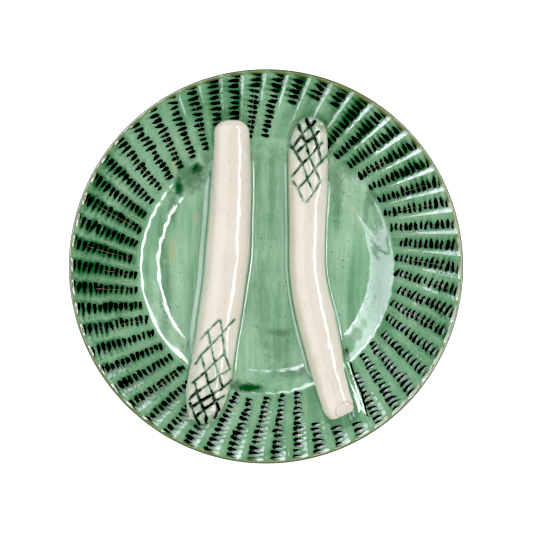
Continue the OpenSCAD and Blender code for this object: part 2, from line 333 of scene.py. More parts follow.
# %% Lines scored in the tips and the cut end
right_tip_lines = [on_plate(line) for line in (
    [(305.3, 115.7), (309.5, 126.8), (313.7, 135.6), (318.3, 147), (322.1, 161.6)],
    [(298.4, 124.9), (301.8, 134.8), (305.7, 144), (309.5, 157), (314.5, 168.5), (321.7, 181.5)],
    [(290, 144.8), (296.1, 154), (302.2, 163.9), (307.2, 178.4), (313.3, 193)],
    [(292.6, 181.5), (298, 190), (303, 200.7)],
    [(314.5, 121.4), (309.5, 126.8), (301.8, 134), (293, 146.3)],
    [(318.3, 131.8), (313.7, 136.3), (305.7, 144), (296, 153)],
    [(323.3, 142.5), (318.3, 147), (309.5, 157), (302.2, 163.9), (291.5, 176)],
    [(329.8, 154), (322.1, 161.6), (314.5, 169.3), (307.2, 179.2), (297.2, 189.2)],
    [(321.7, 181.5), (313.3, 193), (306.4, 202.2)])]
left_tip_lines = [on_plate(line) for line in (
    [(218.9, 319.9), (210.7, 328.2), (199.9, 339)],
    [(234.3, 319.9), (222.3, 333.2), (210.7, 345.6), (200.7, 354.7), (194.9, 363.8)],
    [(225.2, 353.9), (214.8, 362.2), (205.7, 371.3), (191.6, 382.9)],
    [(230.6, 369.7), (219.8, 375.5), (208.6, 383.7), (197, 392), (189.1, 398.7)],
    [(231.4, 381.3), (221.4, 389.6), (211.5, 394.5), (200.7, 401.2), (191.6, 407)],
    [(224.8, 396.2), (215.6, 401.2), (203.2, 410.3), (197.4, 415.3)],
    [(208.2, 333.2), (211.5, 348), (214.8, 362.2), (218.9, 374.6), (223.1, 386.2)],
    [(220.6, 319.9), (222.3, 333.2), (225.2, 353.9), (230.6, 369.7)],
    [(200.7, 355.6), (205.7, 371.3), (208.6, 383.7), (213.1, 395.4), (216.5, 402), (219, 410.3),
     (214.8, 417.7)],
    [(194.9, 383.7), (197, 393.7), (203.2, 407), (206.5, 416.1), (206.5, 424.4)],
    [(189.9, 403.6), (194.9, 416.1), (199, 424.4), (204.9, 429.4)])]
stalk_scratches = [on_plate(line) for line in (
    [(318.9, 355.4), (317.6, 367.9), (320.7, 384.8)],
    [(324.3, 374.1), (327.9, 389.3), (329.6, 400.9)], [(327, 374.1), (333.2, 384.8), (335, 393.8)],
    [(331.4, 369.6), (338.6, 389.3)], [(315.4, 353.6), (314.5, 371.4), (324.3, 401.8)])]
cut_middle, cut_across, cut_along = on_plate((344.4, 410.0)), 5.7, 4.5
cut_turn = math.radians(22)


def cut_place(xy):
    """Place on the right spear's cut face: 1 is its edge."""
    d = xy - cut_middle
    a = d[:, 0] * math.cos(cut_turn) + d[:, 1] * math.sin(cut_turn)
    b = d[:, 1] * math.cos(cut_turn) - d[:, 0] * math.sin(cut_turn)
    return np.hypot(a / cut_across, b / cut_along)


print(len(right_tip_lines), "lines on the right tip,", len(left_tip_lines), "on the left tip")

# %% [markdown]
# One ring has a half circle for its round top, two flanks that curve out to the foot, and an
# underside that sits a little inside the plate, so no gap shows. A spear that crosses from rim to
# rim keeps its top nearly level while the plate falls away below it, so its flanks are tall over
# the well and short on the rims. The rings come from one tall cylinder: its edges are divided into
# 400 rings at once, which is far quicker than extruding it 400 times.

# %% Make a spear
dome_steps, flank_steps, under_steps = 52, 10, 4
ring_size = dome_steps + 1 + 2 * flank_steps + under_steps - 1
ring_count = 400


def spear_tube(name):
    """An open tube from a cylinder, cut into rings."""
    deselect_all()
    bpy.ops.mesh.primitive_cylinder_add(vertices=ring_size, radius=0.01, depth=0.2,
                                        end_fill_type="NOTHING", location=(0, 0, 0.1))
    piece = bpy.context.object
    piece.name = name
    bpy.ops.object.transform_apply(location=True, rotation=True, scale=True)
    bpy.ops.object.mode_set(mode="EDIT")
    bpy.ops.mesh.select_mode(type="EDGE")
    bpy.ops.mesh.select_all(action="DESELECT")
    bpy.ops.object.mode_set(mode="OBJECT")
    spots = piece.data.vertices
    for edge in piece.data.edges:
        low, high = (spots[i].co.z for i in edge.vertices)
        edge.select = abs(high - low) > 0.1
    bpy.ops.object.mode_set(mode="EDIT")
    bpy.ops.mesh.subdivide_edgering(number_cuts=ring_count - 2, interpolation="LINEAR",
                                    smoothness=0)
    bpy.ops.mesh.select_mode(type="VERT")
    bpy.ops.object.mode_set(mode="OBJECT")
    return piece


def ring_order(piece):
    """For each point of the tube, its ring and its step round the ring."""
    tube = points_of(piece)
    ring = np.rint(tube[:, 2] / 200.0 * (ring_count - 1)).astype(int)
    turn = np.arctan2(tube[:, 1], tube[:, 0]) / math.tau * ring_size
    turn = (turn - turn[ring == 0].min()).round().astype(int) % ring_size
    assert len(set(zip(ring, turn))) == ring_count * ring_size
    return ring * ring_size + turn


def close_ends(piece):
    """Fills both open ends and points every face outwards."""
    bpy.ops.object.mode_set(mode="EDIT")
    bpy.ops.mesh.select_all(action="DESELECT")
    bpy.ops.mesh.select_non_manifold(extend=False, use_wire=False, use_boundary=True,
                                     use_multi_face=False, use_non_contiguous=False,
                                     use_verts=False)
    bpy.ops.mesh.edge_face_add()
    bpy.ops.mesh.select_all(action="SELECT")
    bpy.ops.mesh.normals_make_consistent(inside=False)
    bpy.ops.object.mode_set(mode="OBJECT")
    bpy.ops.object.shade_smooth()


print(ring_count, "rings of", ring_size, "points")

# %% [markdown]
# A spear's rings follow its centre line, closer together near the ends, where the shape turns
# faster. The axis keeps its height over the well and rises a little on the rims, and it is
# smoothed, because a sudden step in it would show as a line in the glaze.

# %% Follow the spear's line
end_left_out, bunching, look_ahead, smooth_rings = 0.003, 0.10, 0.01, 31


def spear_frame(rows, tip_at, cut_keep, wave):
    """Middle, side direction, half width and axis height of each ring."""
    u = np.linspace(0, 1, ring_count)
    place = end_left_out + (1 - 2 * end_left_out) * (u - bunching * np.sin(math.tau * u))
    mid = along_rows(rows, place)
    length = np.linalg.norm(rows[-1, :2] - rows[0, :2])
    ahead = along_rows(rows, np.minimum(place + look_ahead, 1))[:, :2]
    behind = along_rows(rows, np.maximum(place - look_ahead, 0))[:, :2]
    heading = (ahead - behind) / np.linalg.norm(ahead - behind, axis=1)[:, None]
    side = np.stack([-heading[:, 1], heading[:, 0]], -1)
    run = np.r_[0, np.cumsum(np.linalg.norm(np.diff(mid[:, :2], axis=0), axis=1))]
    run = run if tip_at == 1 else run[-1] - run
    half = mid[:, 2] * spear_w / 2 * end_share(place, length, run, tip_at, cut_keep)
    half = half * (1 + 0.010 * np.sin(place * 31 + wave) + 0.008 * np.sin(place * 17 + 2 * wave))
    axis_z = spear_mid_z + (spear_end_z - spear_mid_z) * (2 * place - 1) ** 2
    axis_z = np.maximum(axis_z, plain_top(np.hypot(mid[:, 0], mid[:, 1])) - spear_sink)
    axis_z = np.convolve(np.pad(axis_z, smooth_rings // 2, mode="edge"),
                         np.ones(smooth_rings) / smooth_rings, mode="valid")
    return mid[:, :2], side, half, axis_z


print("a spear has", ring_count, "rings")

# %% [markdown]
# Each ring is a half circle on top. Its flanks drop to a hollow fillet, where the clay was smoothed
# on to the plate and the glaze gathered, and the fillet runs out level with the plate. Its
# underside lies a little inside the plate.

# %% The points of a spear
def flank_place(t, drop, reach):
    """How far out and how high over the plate a flank is, from its top (0) to its foot (1)."""
    rise = np.minimum(drop, 0.9 * reach)
    turn = max(t - 0.3, 0) / 0.7 * math.pi / 2
    out = reach * (1 - math.cos(turn))
    down = (drop - rise) * (1 - min(t / 0.3, 1))
    return out, down + rise * (1 - math.sin(turn)) + 0.04


def ring_steps():
    """The steps round a ring, each with its kind, its side or angle, and its place on the flank."""
    steps = [("flank", 1, t) for t in np.linspace(1, 0, flank_steps, endpoint=False)]
    steps += [("dome", a, 0) for a in np.linspace(0, math.pi, dome_steps + 1)]
    steps += [("flank", -1, t) for t in np.linspace(0, 1, flank_steps + 1)[1:]]
    return steps + [("under", a, 0) for a in np.linspace(-1, 1, under_steps + 1)[1:-1]]


def spear_points(mid, side, half, axis_z, reach_of):
    """Each point, its outward way if it is on the dome, and how high up and how far aside it is."""
    points = np.zeros((ring_count, ring_size, 3))
    normal = np.zeros((ring_count, ring_size, 3))
    shares = np.zeros((ring_count, ring_size, 2))
    for k, (kind, a, t) in enumerate(ring_steps()):
        across = half * math.cos(a) if kind == "dome" else a * half
        if kind == "flank":
            edge = mid + side * across[:, None]
            drop = np.maximum(axis_z - plate_top(edge[:, 0], edge[:, 1]), 0)
            out, over = flank_place(t, drop, np.minimum(reach_of(mid, side, a), drop + 0.4))
            across = across + a * out
            shares[:, k] = np.stack([np.full(ring_count, 0.5 * (1 - t)), across / half], -1)
        xy = mid + side * across[:, None]
        plate_z = plate_top(xy[:, 0], xy[:, 1])
        if kind == "dome":
            z = axis_z + half * math.sin(a)
            normal[:, k, :2], normal[:, k, 2] = side * math.cos(a), math.sin(a)
            shares[:, k] = (0.5 + 0.5 * math.sin(a), math.cos(a))
        elif kind == "flank":
            z = np.minimum(plate_z + over, axis_z)
        else:
            z = np.minimum(plate_z - 1.2, axis_z - 0.7)
        points[:, k, :2], points[:, k, 2] = xy, z
    return points.reshape(-1, 3), normal.reshape(-1, 3), shares.reshape(-1, 2).T


print("a ring has", len(ring_steps()), "steps")

# %% [markdown]
# The lines are then pressed into the dome, and the scales between them swell a little. The long
# scratches on the right spear's stalk are shallower, and all of a spear has the slow waves that
# fingers leave. Last comes the slanting cut face of the right spear, with its rings.

# %% Scores, scratches and the cut face
groove_depth, groove_w, swell_h, swell_w = 0.60, 0.62, 0.42, 1.9
scratch_depth, scratch_w, scaly_sink = 0.16, 0.55, 0.3
cut_top_z, cut_slope = 26.1, 0.84
cut_rings = ((1.0, 0.09, -0.30), (0.84, 0.08, 0.14), (0.52, 0.08, -0.13))


def bump_at(far, width):
    """A soft bump, 1 where far is 0."""
    return np.exp(-(far / width) ** 2)


def relief(points, far, scratch, from_tip, on_dome, wave):
    """How far out each point of the dome moves."""
    x, y = points[:, 0], points[:, 1]
    scaly = 1 - ease(48, 66, from_tip)
    swell = swell_h * scaly * (1 - bump_at(far, swell_w)) * on_dome
    groove = groove_depth * (0.45 + 0.55 * scaly) * bump_at(far, groove_w)
    groove = groove + scratch_depth * bump_at(scratch, scratch_w) * on_dome
    wavy = 0.10 * np.sin(x * 0.42 + 1.6 * np.sin(y * 0.11 + wave)) * np.sin(y * 0.19 + 2 * wave) \
        + 0.035 * np.sin(y * 0.63 + x * 0.5 + wave) + 0.02 * np.sin(x * 1.3 - y * 0.35)
    return swell - groove - scaly_sink * scaly + wavy * on_dome


def cut_off(points, mid, cut, on_dome):
    """Brings the points inside the cut face to a slanting flat with its rings."""
    ahead = (mid[-1] - mid[-8]) / np.linalg.norm(mid[-1] - mid[-8])
    slant = cut_top_z - cut_slope * ((points[:, :2] - cut_middle) @ ahead)
    for at, width, height in cut_rings:
        slant = slant + height * bump_at(cut - at, width)
    points[:, 2] += (1 - ease(1.0, 1.16, cut)) * on_dome * (slant - points[:, 2])


def make_spear(name, rows, tip_at, lines, wave, cut_keep, reach_of):
    """One spear, with what its glaze has to know kept on its points."""
    piece = spear_tube(name)
    order = ring_order(piece)
    mid, side, half, axis_z = spear_frame(rows, tip_at, cut_keep, wave)
    points, normal, (high, aside) = spear_points(mid, side, half, axis_z, reach_of)
    far = far_from_lines(points[:, :2], lines)
    scratch = far_from_lines(points[:, :2], stalk_scratches)
    from_tip = np.linalg.norm(points[:, :2] - (mid[0] if tip_at == 0 else mid[-1]), axis=1)
    on_dome = ease(0.5, 0.62, high)
    points = points + normal * relief(points, far, scratch, from_tip, on_dome, wave)[:, None]
    cut = cut_place(points[:, :2])
    if tip_at == 0:
        cut_off(points, mid, cut, on_dome)
    else:
        cut = np.full(len(cut), 9.0)
    put_points(piece, points[order])
    for label, values in (("score", far), ("height", high), ("from_tip", from_tip),
                          ("aside", aside), ("cut_face", cut), ("scratch", scratch)):
        paint(piece, label, values[order])
    close_ends(piece)
    print(name, len(piece.data.vertices), "points, highest at", round(points[:, 2].max(), 2), "mm")
    return piece


print("a spear can be scored and cut")

# %% [markdown]
# A spear wasn't smoothed on to the plate alike on both sides. The left one has its wide fillet on
# its left, and the one on the right of the right spear spreads towards the cut end. One width for
# all would be simpler, but the stripe of light beside a spear follows the fillet.

# %% Shape the two spears
def left_reach(mid, side, way):
    """Width of the left spear's fillets: wide on its left, narrow on its right."""
    return np.where(way * side[:, 0] < 0, 4.8, 2.6)


def right_reach(mid, side, way):
    """Width of the right spear's fillets: its right one spreads towards the cut end."""
    spread = np.interp(-mid[:, 1], [25, 50, 75, 88], [2.0, 3.0, 5.2, 6.2])
    return np.where(way * side[:, 0] > 0, spread, 3.0)


left_spear = make_spear("left_asparagus_spear", left_rows, 1, left_tip_lines, 0.4, 0.22,
                        left_reach)
right_spear = make_spear("right_asparagus_spear", right_rows, 0, right_tip_lines, 2.1, 0.55,
                         right_reach)

# %% [markdown]
# ## The plate
#
# The rim and the well are one thrown wall of clay, so they are one piece here. On a potter's wheel
# the wall is a turned shape, so half its section is drawn once and spun. The rim wants many fine
# steps, because the flutes and the pressed marks are moved into its points afterwards, and so do
# the bends of the wall, because they mirror the strip of light as thin lines.

# %% Draw and spin the plate
columns_in_row = 15
rim_steps = 68


def plate_outline():
    """Half the section, from the middle over the top and the edge, and back below."""
    flat = [(r, float(plain_top(r))) for r in (0, 20, 40, 52, 57, 60)]
    wall_r = np.concatenate([np.arange(61.5, 68.6, 0.7), np.arange(69.6, 73.5, 1.0),
                             np.arange(74.1, shoulder_r, 0.6)])
    wall = [(r, float(plain_top(r))) for r in wall_r]
    rim_end = plate_r - edge_round
    rim_r = np.linspace(shoulder_r, rim_end, rim_steps + 1)
    rim = [(r, float(plain_top(r))) for r in rim_r]
    z = rim[-1][1] - edge_round
    turn = np.linspace(math.pi / 2, 0, 6)[1:]
    edge = [(rim_end + edge_round * math.cos(a), z + edge_round * math.sin(a)) for a in turn]
    low_z = z - (rim_t - 2 * edge_round)
    turn = np.linspace(0, -math.pi / 2, 5)
    edge += [(rim_end + edge_round * math.cos(a), low_z + edge_round * math.sin(a)) for a in turn]
    under_edge = low_z - edge_round
    under = [(r, under_edge - (rim_end - r) * rim_rise) for r in (108, 95, 85, 78)]
    wall_u = np.linspace(1, 0, 7)
    start_r, end_r = floor_r + floor_t / 2, shoulder_r
    start_z, end_z = foot_h, under[-1][1]
    under += [(start_r + (end_r - start_r) * w, start_z + (end_z - start_z)
               * float(ramp(w, wall_bend_share))) for w in wall_u[:-1]]
    under += [(end_x, foot_h) for end_x in (start_r, 56, 30, 0)]
    return flat + wall + rim + edge + under


outline = plate_outline()
plate = start_outline(outline[0])
plate.name = "fluted_plate_body"
extrude_outline(outline)
spin_outline(row_count * columns_in_row)
print(len(plate.data.polygons), "faces from an outline of", len(outline), "points")

# %% [markdown]
# The columns of points are then leaned so that they run along the rows, and the flutes and marks
# are pressed in. A mark is only a shallow dent with a raised lip, because most of its dark comes
# from the black glaze in it. Between the right spear and its seam the glaze is heaped up.

# %% Press the flutes and the marks
fold_h = 2.3


def leaned(points):
    """The same points, turned round the plate so that the columns follow the rows."""
    r = np.hypot(points[:, 0], points[:, 1])
    lean = np.arcsin(row_lean_r / np.clip(r, shoulder_r, plate_r))
    a = np.arctan2(points[:, 1], points[:, 0]) + lean + math.radians(row_phase) \
        + row_turn / columns_in_row / 2
    return np.stack([r * np.cos(a), r * np.sin(a), points[:, 2]], -1)


points = leaned(points_of(plate))
x, y, z = points.T
r = np.hypot(x, y)
row, along, across = row_place(x, y)
is_top = z > plain_top(r) - 1.2
on_rim = is_top * ease(shoulder_r - 0.5, shoulder_r + 3.5, r) * (1 - ease(117.2, 119.6, r))
mark, p, q = mark_place(row, along, across)
reach = mark_reach(p, q)
dent = mark_depth * (1 - ease(0.25, 1.15, reach))
swell = 0.08 * np.exp(-((reach - 1.3) / 0.3) ** 2)
wobble = 0.10 * np.sin(x * 0.21 + 1.3) * np.sin(y * 0.17 + 0.4) + 0.05 * np.sin(x * 0.7 + y * 0.5)
flute = plain_top(r) - plate_top(x, y)
seam = from_line(points[:, :2], seam_line)
fold = (x > 20) * (y < -20) * ease(seam_end[1] - 2.5, seam_end[1] + 1.5, y)
seam = np.where(fold > 0, seam, -99)
near = clear_of_spears(x, y)
in_fold = np.clip(seam, 0, 9)
slope_share = in_fold / np.maximum(in_fold + np.maximum(near, 0), 0.5)
fill = slope_share ** 1.5 * (1 - ease(7.5, 10, seam)) * (1 - ease(-62, -36, y)) * fold
z = z + is_top * fold_h * fill
z = z - is_top * flute - on_rim * (dent - swell) + is_top * wobble * (r < plate_r - 3)
points[:, 2] = z
put_points(plate, points)
print("deepest flute", round(float((is_top * flute).max()), 2), "mm")

# %% [markdown]
# The glaze has to know the marks too. Each face keeps, at its corners, the place inside its nearest
# mark and the place in its row. Kept at the corners, they can jump from one mark to the next
# between two faces without a false edge, and the outline of a mark stays crisp however near the
# camera comes.

# %% Keep the marks on the mesh
faces = plate.data.polygons
loop_point = np.empty(len(plate.data.loops), int)
plate.data.loops.foreach_get("vertex_index", loop_point)
face_size = np.empty(len(faces), int)
faces.foreach_get("loop_total", face_size)
face_mid = np.empty(len(faces) * 3)
faces.foreach_get("center", face_mid)
face_mid = face_mid.reshape(-1, 3) / mm
f_row, f_along, f_across = row_place(face_mid[:, 0], face_mid[:, 1])
f_mark, _, _ = mark_place(f_row, f_along, f_across)
c_row, c_mark = np.repeat(f_row, face_size), np.repeat(f_mark, face_size)
cx, cy = points[loop_point, 0], points[loop_point, 1]
_, c_along, c_across = row_place(cx, cy, c_row)
_, c_p, c_q = mark_place(c_row, c_along, c_across, c_mark)
top_face = np.repeat(face_mid[:, 2] > plain_top(np.hypot(face_mid[:, 0], face_mid[:, 1])) - 1.9,
                     face_size) & (np.hypot(cx, cy) > shoulder_r - 1)
c_p, c_q = (np.where(top_face, value, off_mark) for value in (c_p, c_q))
paint(plate, "mark_place", np.stack([c_p, c_q, mark_seed[c_row, c_mark]], -1), "CORNER")
row_seed = chance.random(row_count)
c_across = np.where(top_face, c_across, 99)
paint(plate, "row_place", np.stack([c_across, c_along, row_seed[c_row]], -1), "CORNER")
paint(plate, "spear_near", clear_of_spears(points[:, 0], points[:, 1]))
paint(plate, "upper", is_top.astype(float))
print(len(loop_point), "corners know their mark")

# %% [markdown]
# ## The foot ring
#
# A plate stands on a low turned ring. Its face was wiped clean of glaze before firing, so the
# bare clay shows there. The ring is drawn as half a section with its corners rounded, and spun.

# %% Turn the foot ring
foot_columns = 192
slant = (foot_w - foot_flat_w) / 2
one_side = [(0, foot_h), (0.2, foot_h - 0.9), (slant - 0.5, 0.75), (slant, 0.2),
            (slant + 0.6, 0.0)]
foot_points = [(foot_r - foot_w + inset, height) for inset, height in one_side] \
    + [(foot_r - inset, height) for inset, height in reversed(one_side)] \
    + [(foot_r - foot_w, foot_h)]
foot = start_outline(foot_points[0])
foot.name = "foot_ring_bare"
extrude_outline(foot_points)
spin_outline(foot_columns)
bpy.ops.object.shade_smooth_by_angle(angle=math.radians(40))
print(foot.name, len(foot.data.polygons), "faces")

# %% [markdown]
# ## Glaze
#
# A glaze isn't one colour. It runs off high places, so those stay pale, and it pools in low ones,
# so those turn dark. It is brushed on, so it has clouds and streaks, and it breaks thin and warm
# on a sharp edge. The clouds, the skin of the glaze and what the rows do to it are node groups
# here, made once with inputs of their own, and each finish uses them with its own values.
#
# Such a finish is mostly sums, and a sum of Math nodes is long to write. So a node's output is
# wrapped in a small class, and then a + b or a * 0.5 adds the Math node that does it.

# %% Reckon with nodes
class Value:
    """The output of a node. Reckoning with it adds a Math node to its tree."""

    def __init__(self, tree, socket):
        self.tree, self.socket = tree, socket

    def __add__(self, other):
        return calc("ADD", self, other)

    def __sub__(self, other):
        return calc("SUBTRACT", self, other)

    def __rsub__(self, other):
        return calc("SUBTRACT", other, self)

    def __mul__(self, other):
        return calc("MULTIPLY", self, other)

    def __truediv__(self, other):
        return calc("DIVIDE", self, other)

    def __pow__(self, other):
        return calc("POWER", self, other)

    def __abs__(self):
        return calc("ABSOLUTE", self)


def add_node(tree, kind, **settings):
    """Adds a node of a kind, with its settings."""
    node = tree.nodes.new(kind)
    for name, value in settings.items():
        setattr(node, name, value)
    return node


def wire(value, socket):
    """Links a value to a socket, or sets a plain number, vector or colour on it."""
    if isinstance(value, Value):
        value.tree.links.new(value.socket, socket)
    elif socket.type == "RGBA":
        socket.default_value = (*value, 1)
    else:
        socket.default_value = value


def calc(operation, *values, clamp=False):
    """A Math node, in the tree of the values that it is given."""
    tree = next(value.tree for value in values if isinstance(value, Value))
    node = add_node(tree, "ShaderNodeMath", operation=operation, use_clamp=clamp)
    for socket, value in zip(node.inputs, values):
        wire(value, socket)
    return Value(tree, node.outputs[0])


def calc_vector(operation, place, other, output="Vector"):
    """A Vector Math node, between a place and a plain vector."""
    node = add_node(place.tree, "ShaderNodeVectorMath", operation=operation)
    wire(place, node.inputs[0])
    node.inputs[1].default_value = other
    return Value(place.tree, node.outputs[output])


def parts(vector):
    """The three numbers of a vector."""
    node = add_node(vector.tree, "ShaderNodeSeparateXYZ")
    wire(vector, node.inputs[0])
    return [Value(vector.tree, socket) for socket in node.outputs]


print("values can be reckoned with")

# %% [markdown]
# A finish needs four more things: a smooth step that turns a value into a mask, a mix that lays one
# colour over another by such a mask, noise for the clouds, and the values that the mesh keeps. A
# colour ramp could make the mask too, but its stops are fixed, and these can follow a value.

# %% Steps, mixes and noise
def step_between(value, low, high, to_low=0.0, to_high=1.0):
    """A smooth step of a value from one level to another."""
    node = add_node(value.tree, "ShaderNodeMapRange", interpolation_type="SMOOTHSTEP")
    for name, v in (("Value", value), ("From Min", low), ("From Max", high),
                    ("To Min", to_low), ("To Max", to_high)):
        wire(v, node.inputs[name])
    return Value(value.tree, node.outputs["Result"])


def mix_colour(share, a, b):
    """Colour a with a share of colour b."""
    node = add_node(share.tree, "ShaderNodeMix", data_type="RGBA", blend_type="MIX")
    for number, value in ((0, share), (6, a), (7, b)):
        wire(value, node.inputs[number])
    return Value(share.tree, node.outputs[2])


def noise(place, scale, detail=3.0, roughness=0.55, distortion=0.0):
    """Cloudy noise from 0 to 1."""
    node = add_node(place.tree, "ShaderNodeTexNoise")
    for name, v in (("Vector", place), ("Scale", scale), ("Detail", detail),
                    ("Roughness", roughness), ("Distortion", distortion)):
        wire(v, node.inputs[name])
    return Value(place.tree, node.outputs["Fac"])


def stretched(place, share):
    """A place with its Y shrunk to a share, which draws a pattern out along Y."""
    node = add_node(place.tree, "ShaderNodeMapping")
    wire(place, node.inputs["Vector"])
    node.inputs["Scale"].default_value = (1.0, share, 1.0)
    return Value(place.tree, node.outputs["Vector"])


def kept(tree, name, part="Fac"):
    """A value that the mesh keeps under this name."""
    return Value(tree, add_node(tree, "ShaderNodeAttribute", attribute_name=name).outputs[part])


def by_name(tree, node):
    """Gives a node's outputs by their names."""
    return lambda name: Value(tree, node.outputs[name])


def new_group(name, levels, outputs):
    """An empty node group: its tree, what it is given by name, and the sockets of what it makes."""
    tree = bpy.data.node_groups.new(name, "ShaderNodeTree")
    tree.interface.new_socket("Place", in_out="INPUT", socket_type="NodeSocketVector")
    for label, level in levels.items():
        socket = tree.interface.new_socket(label, in_out="INPUT", socket_type="NodeSocketFloat")
        socket.default_value = level
    for label in outputs:
        tree.interface.new_socket(label, in_out="OUTPUT", socket_type="NodeSocketFloat")
    start, end = add_node(tree, "NodeGroupInput"), add_node(tree, "NodeGroupOutput")
    return tree, by_name(tree, start), end.inputs


def use_group(group, place, **levels):
    """Places a group in a finish, and gives its outputs by name."""
    node = add_node(place.tree, "ShaderNodeGroup", node_tree=group)
    wire(place, node.inputs["Place"])
    for name, level in levels.items():
        wire(level, node.inputs[name.replace("_", " ")])
    return by_name(place.tree, node)


print("wiring helpers ready")

# %% [markdown]
# Some things lie at one place only, such as a dark run or a scratch. For those, a patch and a line
# are worked out from a place and its distance, so no picture is needed.

# %% Spots and lines at a place
def near_spot(place, centre, wide, tall, ragged, share):
    """A soft ragged patch round a place of the photograph, its reach in pixels."""
    x, y = on_plate(centre) * mm
    away = calc_vector("SUBTRACT", place, (x, y, 0))
    pixel = photo_scale * mm
    scaled = calc_vector("MULTIPLY", away, (1 / wide / pixel, 1 / tall / pixel, 0))
    far = calc_vector("LENGTH", scaled, (0, 0, 0), "Value") + ragged * 1.5
    return step_between(far, 0.40, 1.40, share, 0.0)


def near_line(place, start, end):
    """Distance from a straight line between two places, in millimetres."""
    length = float(np.linalg.norm(end - start))
    ahead_x, ahead_y = (end - start) / length
    away = calc_vector("SUBTRACT", place, (*((start + end) / 2), 0))
    along, across = (abs(calc_vector("DOT_PRODUCT", away, (x / mm, y / mm, 0), "Value"))
                     for x, y in ((ahead_x, ahead_y), (-ahead_y, ahead_x)))
    return across + calc("MAXIMUM", along - length / 2 / mm, 0.0)


print("spots and lines ready")

# %% [markdown]
# The first group is the brushed cloud: slow patches, streaks and hairs that run the way the brush
# went, and small dark specks of metal in the glaze. The second is the skin of the glaze: a soft
# ripple and fine pits that make its reflections wander, as a height for a Bump node.

# %% Groups for clouds and for the skin
clouds, given, made = new_group(
    "brushed_clouds", {"Patch Scale": 26.0, "Streak Scale": 120.0, "Speck Scale": 620.0},
    ("Patch", "Streak", "Speck", "Hair"))
place = given("Place")
patch = noise(place, given("Patch Scale"), 4.0, 0.6, 0.4)
wire(step_between(patch, 0.32, 0.68), made["Patch"])
streak = noise(stretched(place, 0.13), given("Streak Scale"), 3.0, 0.6, 0.2)
wire(step_between(streak, 0.3, 0.7), made["Streak"])
speck = noise(place, given("Speck Scale"), 1.0, 0.4) + noise(place, 70.0, 2.0) * 0.25
wire(step_between(speck, 0.85, 0.90), made["Speck"])
hair = noise(stretched(place, 0.05), 640.0, 2.0, 0.6, 0.3)
wire(step_between(hair, 0.3, 0.7), made["Hair"])

skin, given, made = new_group("glaze_skin", {"Ripple": 0.8, "Pits": 0.25}, ("Height",))
place = given("Place")
ripple = noise(place, 95.0, 2.0, 0.45)
fine = noise(place, 420.0, 2.0, 0.5)
pit = step_between(noise(place, 900.0, 1.0), 0.70, 0.78)
wire(ripple * given("Ripple") + fine * 0.12 - pit * given("Pits"), made["Height"])
print("groups:", clouds.name, skin.name)

# %% [markdown]
# The third group reads what the plate's mesh keeps about its rows. It gives the inside of each
# mark with a ragged outline, the halo of pooled glaze round it, the valley of the row, and two
# thin painted reflections of a warm light: a tan one down the middle of a row and a cream one on
# the crest between rows.

# %% A group for the rows
half_row_share = 0.0582
rows_group, given, made = new_group(
    "pressed_rows", {"Halo Width": 2.4}, ("Mark", "Halo", "Valley", "Tan Reflection", "Cream Reflection"))
place = given("Place")
mark_p, mark_q, _ = parts(kept(rows_group, "mark_place", "Vector"))
row_across, row_along, row_chance = parts(kept(rows_group, "row_place", "Vector"))
rough = (noise(place, 650.0, 3.0, 0.6) - 0.5) * 1.5

lean = calc("MAXIMUM", calc("MINIMUM", mark_p, 1.0), -1.0)
taper = lean * 0.3 + 1.0
inside = (abs(mark_p) ** (1.8 - lean * 0.55) + abs(mark_q * taper) ** 2.0) ** 0.5
fall = ((mark_p / 2.8) ** 2.0 + (mark_q / 1.05) ** 2.0) ** 0.5 / calc("MAXIMUM", inside, 0.05)
away = (inside - 1.0) / calc("MAXIMUM", fall, 0.1)
wire(step_between(away + rough, -0.12, 0.30, 1.0, 0.0), made["Mark"])

halo = step_between(away + rough * 1.2, 0.0, given("Halo Width"), 1.0, 0.0)
patchy = step_between(noise(place, 160.0, 3.0, 0.6), 0.3, 0.62, 0.25, 1.0)
wire(halo * patchy, made["Halo"])

half_row = row_along * half_row_share
side = abs(row_across)
wire(step_between(side / half_row + rough * 0.25, 0.35, 0.85, 1.0, 0.0), made["Valley"])

# painted reflection: a thin tan line of a warm light down the middle of a row
middle = abs(row_across + (noise(place, 45.0, 2.0) - 0.5) * 1.6)
tan = step_between(middle, 0.06, 0.24, 1.0, 0.0) * step_between(noise(place, 75.0, 2.0), 0.42, 0.5)
span = step_between(row_along, 80, 84) * step_between(row_along, 104, 110, 1.0, 0.0)
wire(tan * span * calc("GREATER_THAN", row_chance, 0.5), made["Tan Reflection"])

# painted reflection: a thin cream line of a warm light on the crest between rows
stray = noise(place, 85.0, 3.0, 0.6) - 0.40
crest = abs(half_row - side - stray * 5.5)
cream = step_between(crest, 0.05, 0.30, 1.0, 0.0) * step_between(row_along, 92, 108, 1.0, 0.0)
wire(cream * step_between(noise(place, 120.0, 2.0), 0.44, 0.54), made["Cream Reflection"])
print("group:", rows_group.name)

# %% [markdown]
# The plate also keeps one slow value, how thickly the glaze lies. The rim was glazed more heavily
# on the left and at the upper right, and thinly at the bottom, so the thickness is given at some
# angles round the plate. The well's points lie too far apart to keep its dark runs and bare
# spots, so each of those has a place, a reach and a strength here, and the finish draws it.

